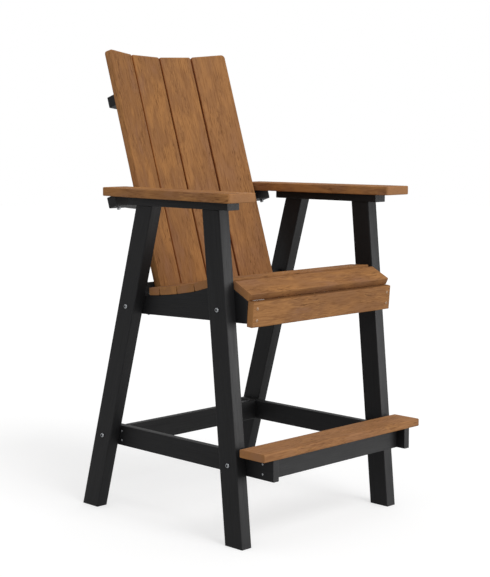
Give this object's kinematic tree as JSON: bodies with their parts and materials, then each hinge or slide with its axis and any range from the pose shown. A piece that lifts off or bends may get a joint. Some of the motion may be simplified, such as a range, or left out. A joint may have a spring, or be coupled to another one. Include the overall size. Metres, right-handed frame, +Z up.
{
  "type": "bar chair",
  "caption": "Bar-height outdoor arm chair of woodgrain and black boards: splayed legs, contoured slat seat, curved reclined slat back, flat arms and a footrest.",
  "frame": {"origin": "on the floor, under the middle of the chair's outline", "axes": "+Z up; the sitter faces -Y; the sitter's left side is +X"},
  "size_m": [0.7506, 0.796, 1.3649],
  "materials": {
    "woodgrain_board": "satin board with a fine wood grain",
    "black_board": "satin board with a fine grain",
    "stainless": "plain stainless fasteners"
  },
  "bodies": {
    "root": {"arm_back_brace": "black_board", "arm_left": "woodgrain_board", "arm_right": "woodgrain_board", "arm_screw_left": "stainless", "arm_screw_right": "stainless", "arm_support_left": "black_board", "arm_support_right": "black_board", "back_slat_1": "woodgrain_board", "back_slat_2": "woodgrain_board", "back_slat_3": "woodgrain_board", "back_slat_4": "woodgrain_board", "bolt_foot_front_left": "stainless", "bolt_foot_front_right": "stainless", "bolt_foot_rear_left": "stainless", "bolt_foot_rear_right": "stainless", "bolt_seat_front_left": "stainless", "bolt_seat_front_right": "stainless", "bolt_seat_rear_left": "stainless", "bolt_seat_rear_right": "stainless", "brace_screw_left": "stainless", "brace_screw_right": "stainless", "foot_rail_left": "black_board", "foot_rail_right": "black_board", "footrest_board": "woodgrain_board", "footrest_stretcher": "black_board", "front_leg_left": "black_board", "front_leg_right": "black_board", "lower_back_brace": "black_board", "nut_foot_front_left": "stainless", "nut_foot_front_right": "stainless", "nut_foot_rear_left": "stainless", "nut_foot_rear_right": "stainless", "nut_seat_front_left": "stainless", "nut_seat_front_right": "stainless", "nut_seat_rear_left": "stainless", "nut_seat_rear_right": "stainless", "rear_leg_left": "black_board", "rear_leg_right": "black_board", "rear_stretcher": "black_board", "seat_apron": "woodgrain_board", "seat_rail_left": "black_board", "seat_rail_right": "black_board", "seat_slat_1": "woodgrain_board", "seat_slat_2": "woodgrain_board", "seat_slat_3": "woodgrain_board", "seat_slat_4": "woodgrain_board", "seat_slat_5": "woodgrain_board", "seat_slat_6": "woodgrain_board", "upper_back_brace": "black_board"}
  },
  "joints": []
}
